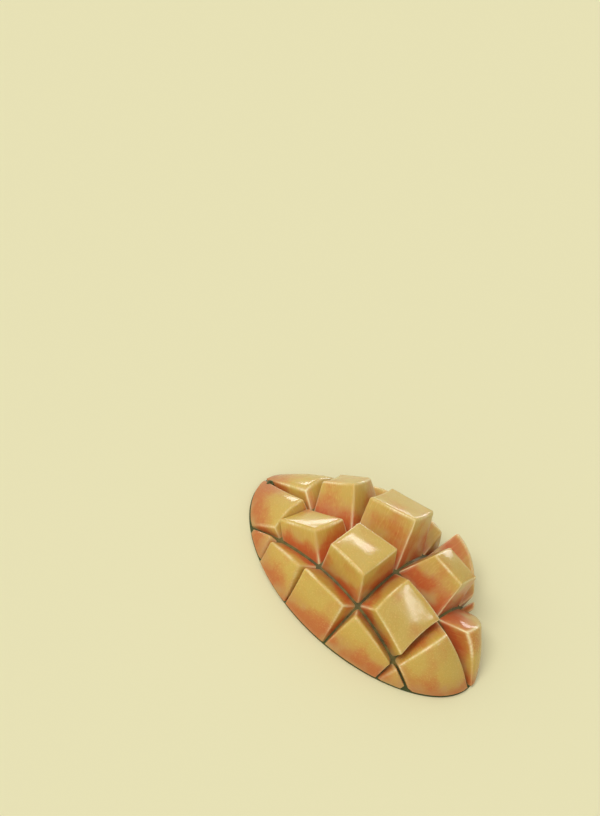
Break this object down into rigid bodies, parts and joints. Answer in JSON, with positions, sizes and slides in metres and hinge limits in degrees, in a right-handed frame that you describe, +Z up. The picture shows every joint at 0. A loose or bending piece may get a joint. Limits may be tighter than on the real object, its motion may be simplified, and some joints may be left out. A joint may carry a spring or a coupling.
{
  "type": "cubed mango half",
  "caption": "Mango cheek scored in a grid down to its skin and pushed inside out, so that the blocks of flesh fan out over the domed skin.",
  "frame": {"origin": "middle of the half's box at the level of the flat rim that it rests on", "axes": "+Z up through the blocks, +X along the fruit from the stem end to the beak, +Y across it towards the taller strip"},
  "size_m": [0.1224, 0.0728, 0.0417],
  "materials": {
    "mango_flesh": "moist golden-yellow flesh that turns orange-red towards the skin",
    "mango_skin": "waxy red skin that turns green towards the rim and the beak"
  },
  "bodies": {
    "root": {"mango_half": "mango_flesh"}
  },
  "joints": []
}
